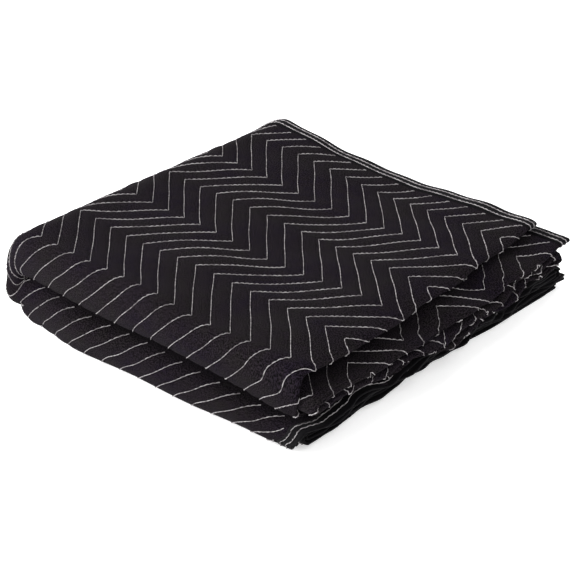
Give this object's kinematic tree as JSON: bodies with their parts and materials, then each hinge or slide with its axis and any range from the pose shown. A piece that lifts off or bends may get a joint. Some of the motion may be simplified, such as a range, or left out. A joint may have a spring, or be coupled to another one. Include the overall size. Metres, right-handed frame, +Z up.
{
  "type": "folded quilted moving blanket",
  "caption": "Square packet of a quilted moving blanket with bound edges, folded flat into sixteen leaves.",
  "frame": {"origin": "middle of the packet's outline, on the surface that it lies on", "axes": "+Z up, +X along the packet towards the end folds and the bound ends, +Y across it towards the bound side edges"},
  "size_m": [0.5244, 0.4704, 0.1294],
  "materials": {
    "quilted_cloth": "matte woven cotton and polyester, black, quilted in a zigzag with white thread",
    "binding_tape": "matte woven tape, black, sewn on with white thread"
  },
  "bodies": {
    "root": {"quilted_panel": "quilted_cloth", "side_tape_top": "binding_tape", "side_tape_second": "binding_tape", "end_tape_outer": "binding_tape", "end_tape_inner": "binding_tape"}
  },
  "joints": []
}
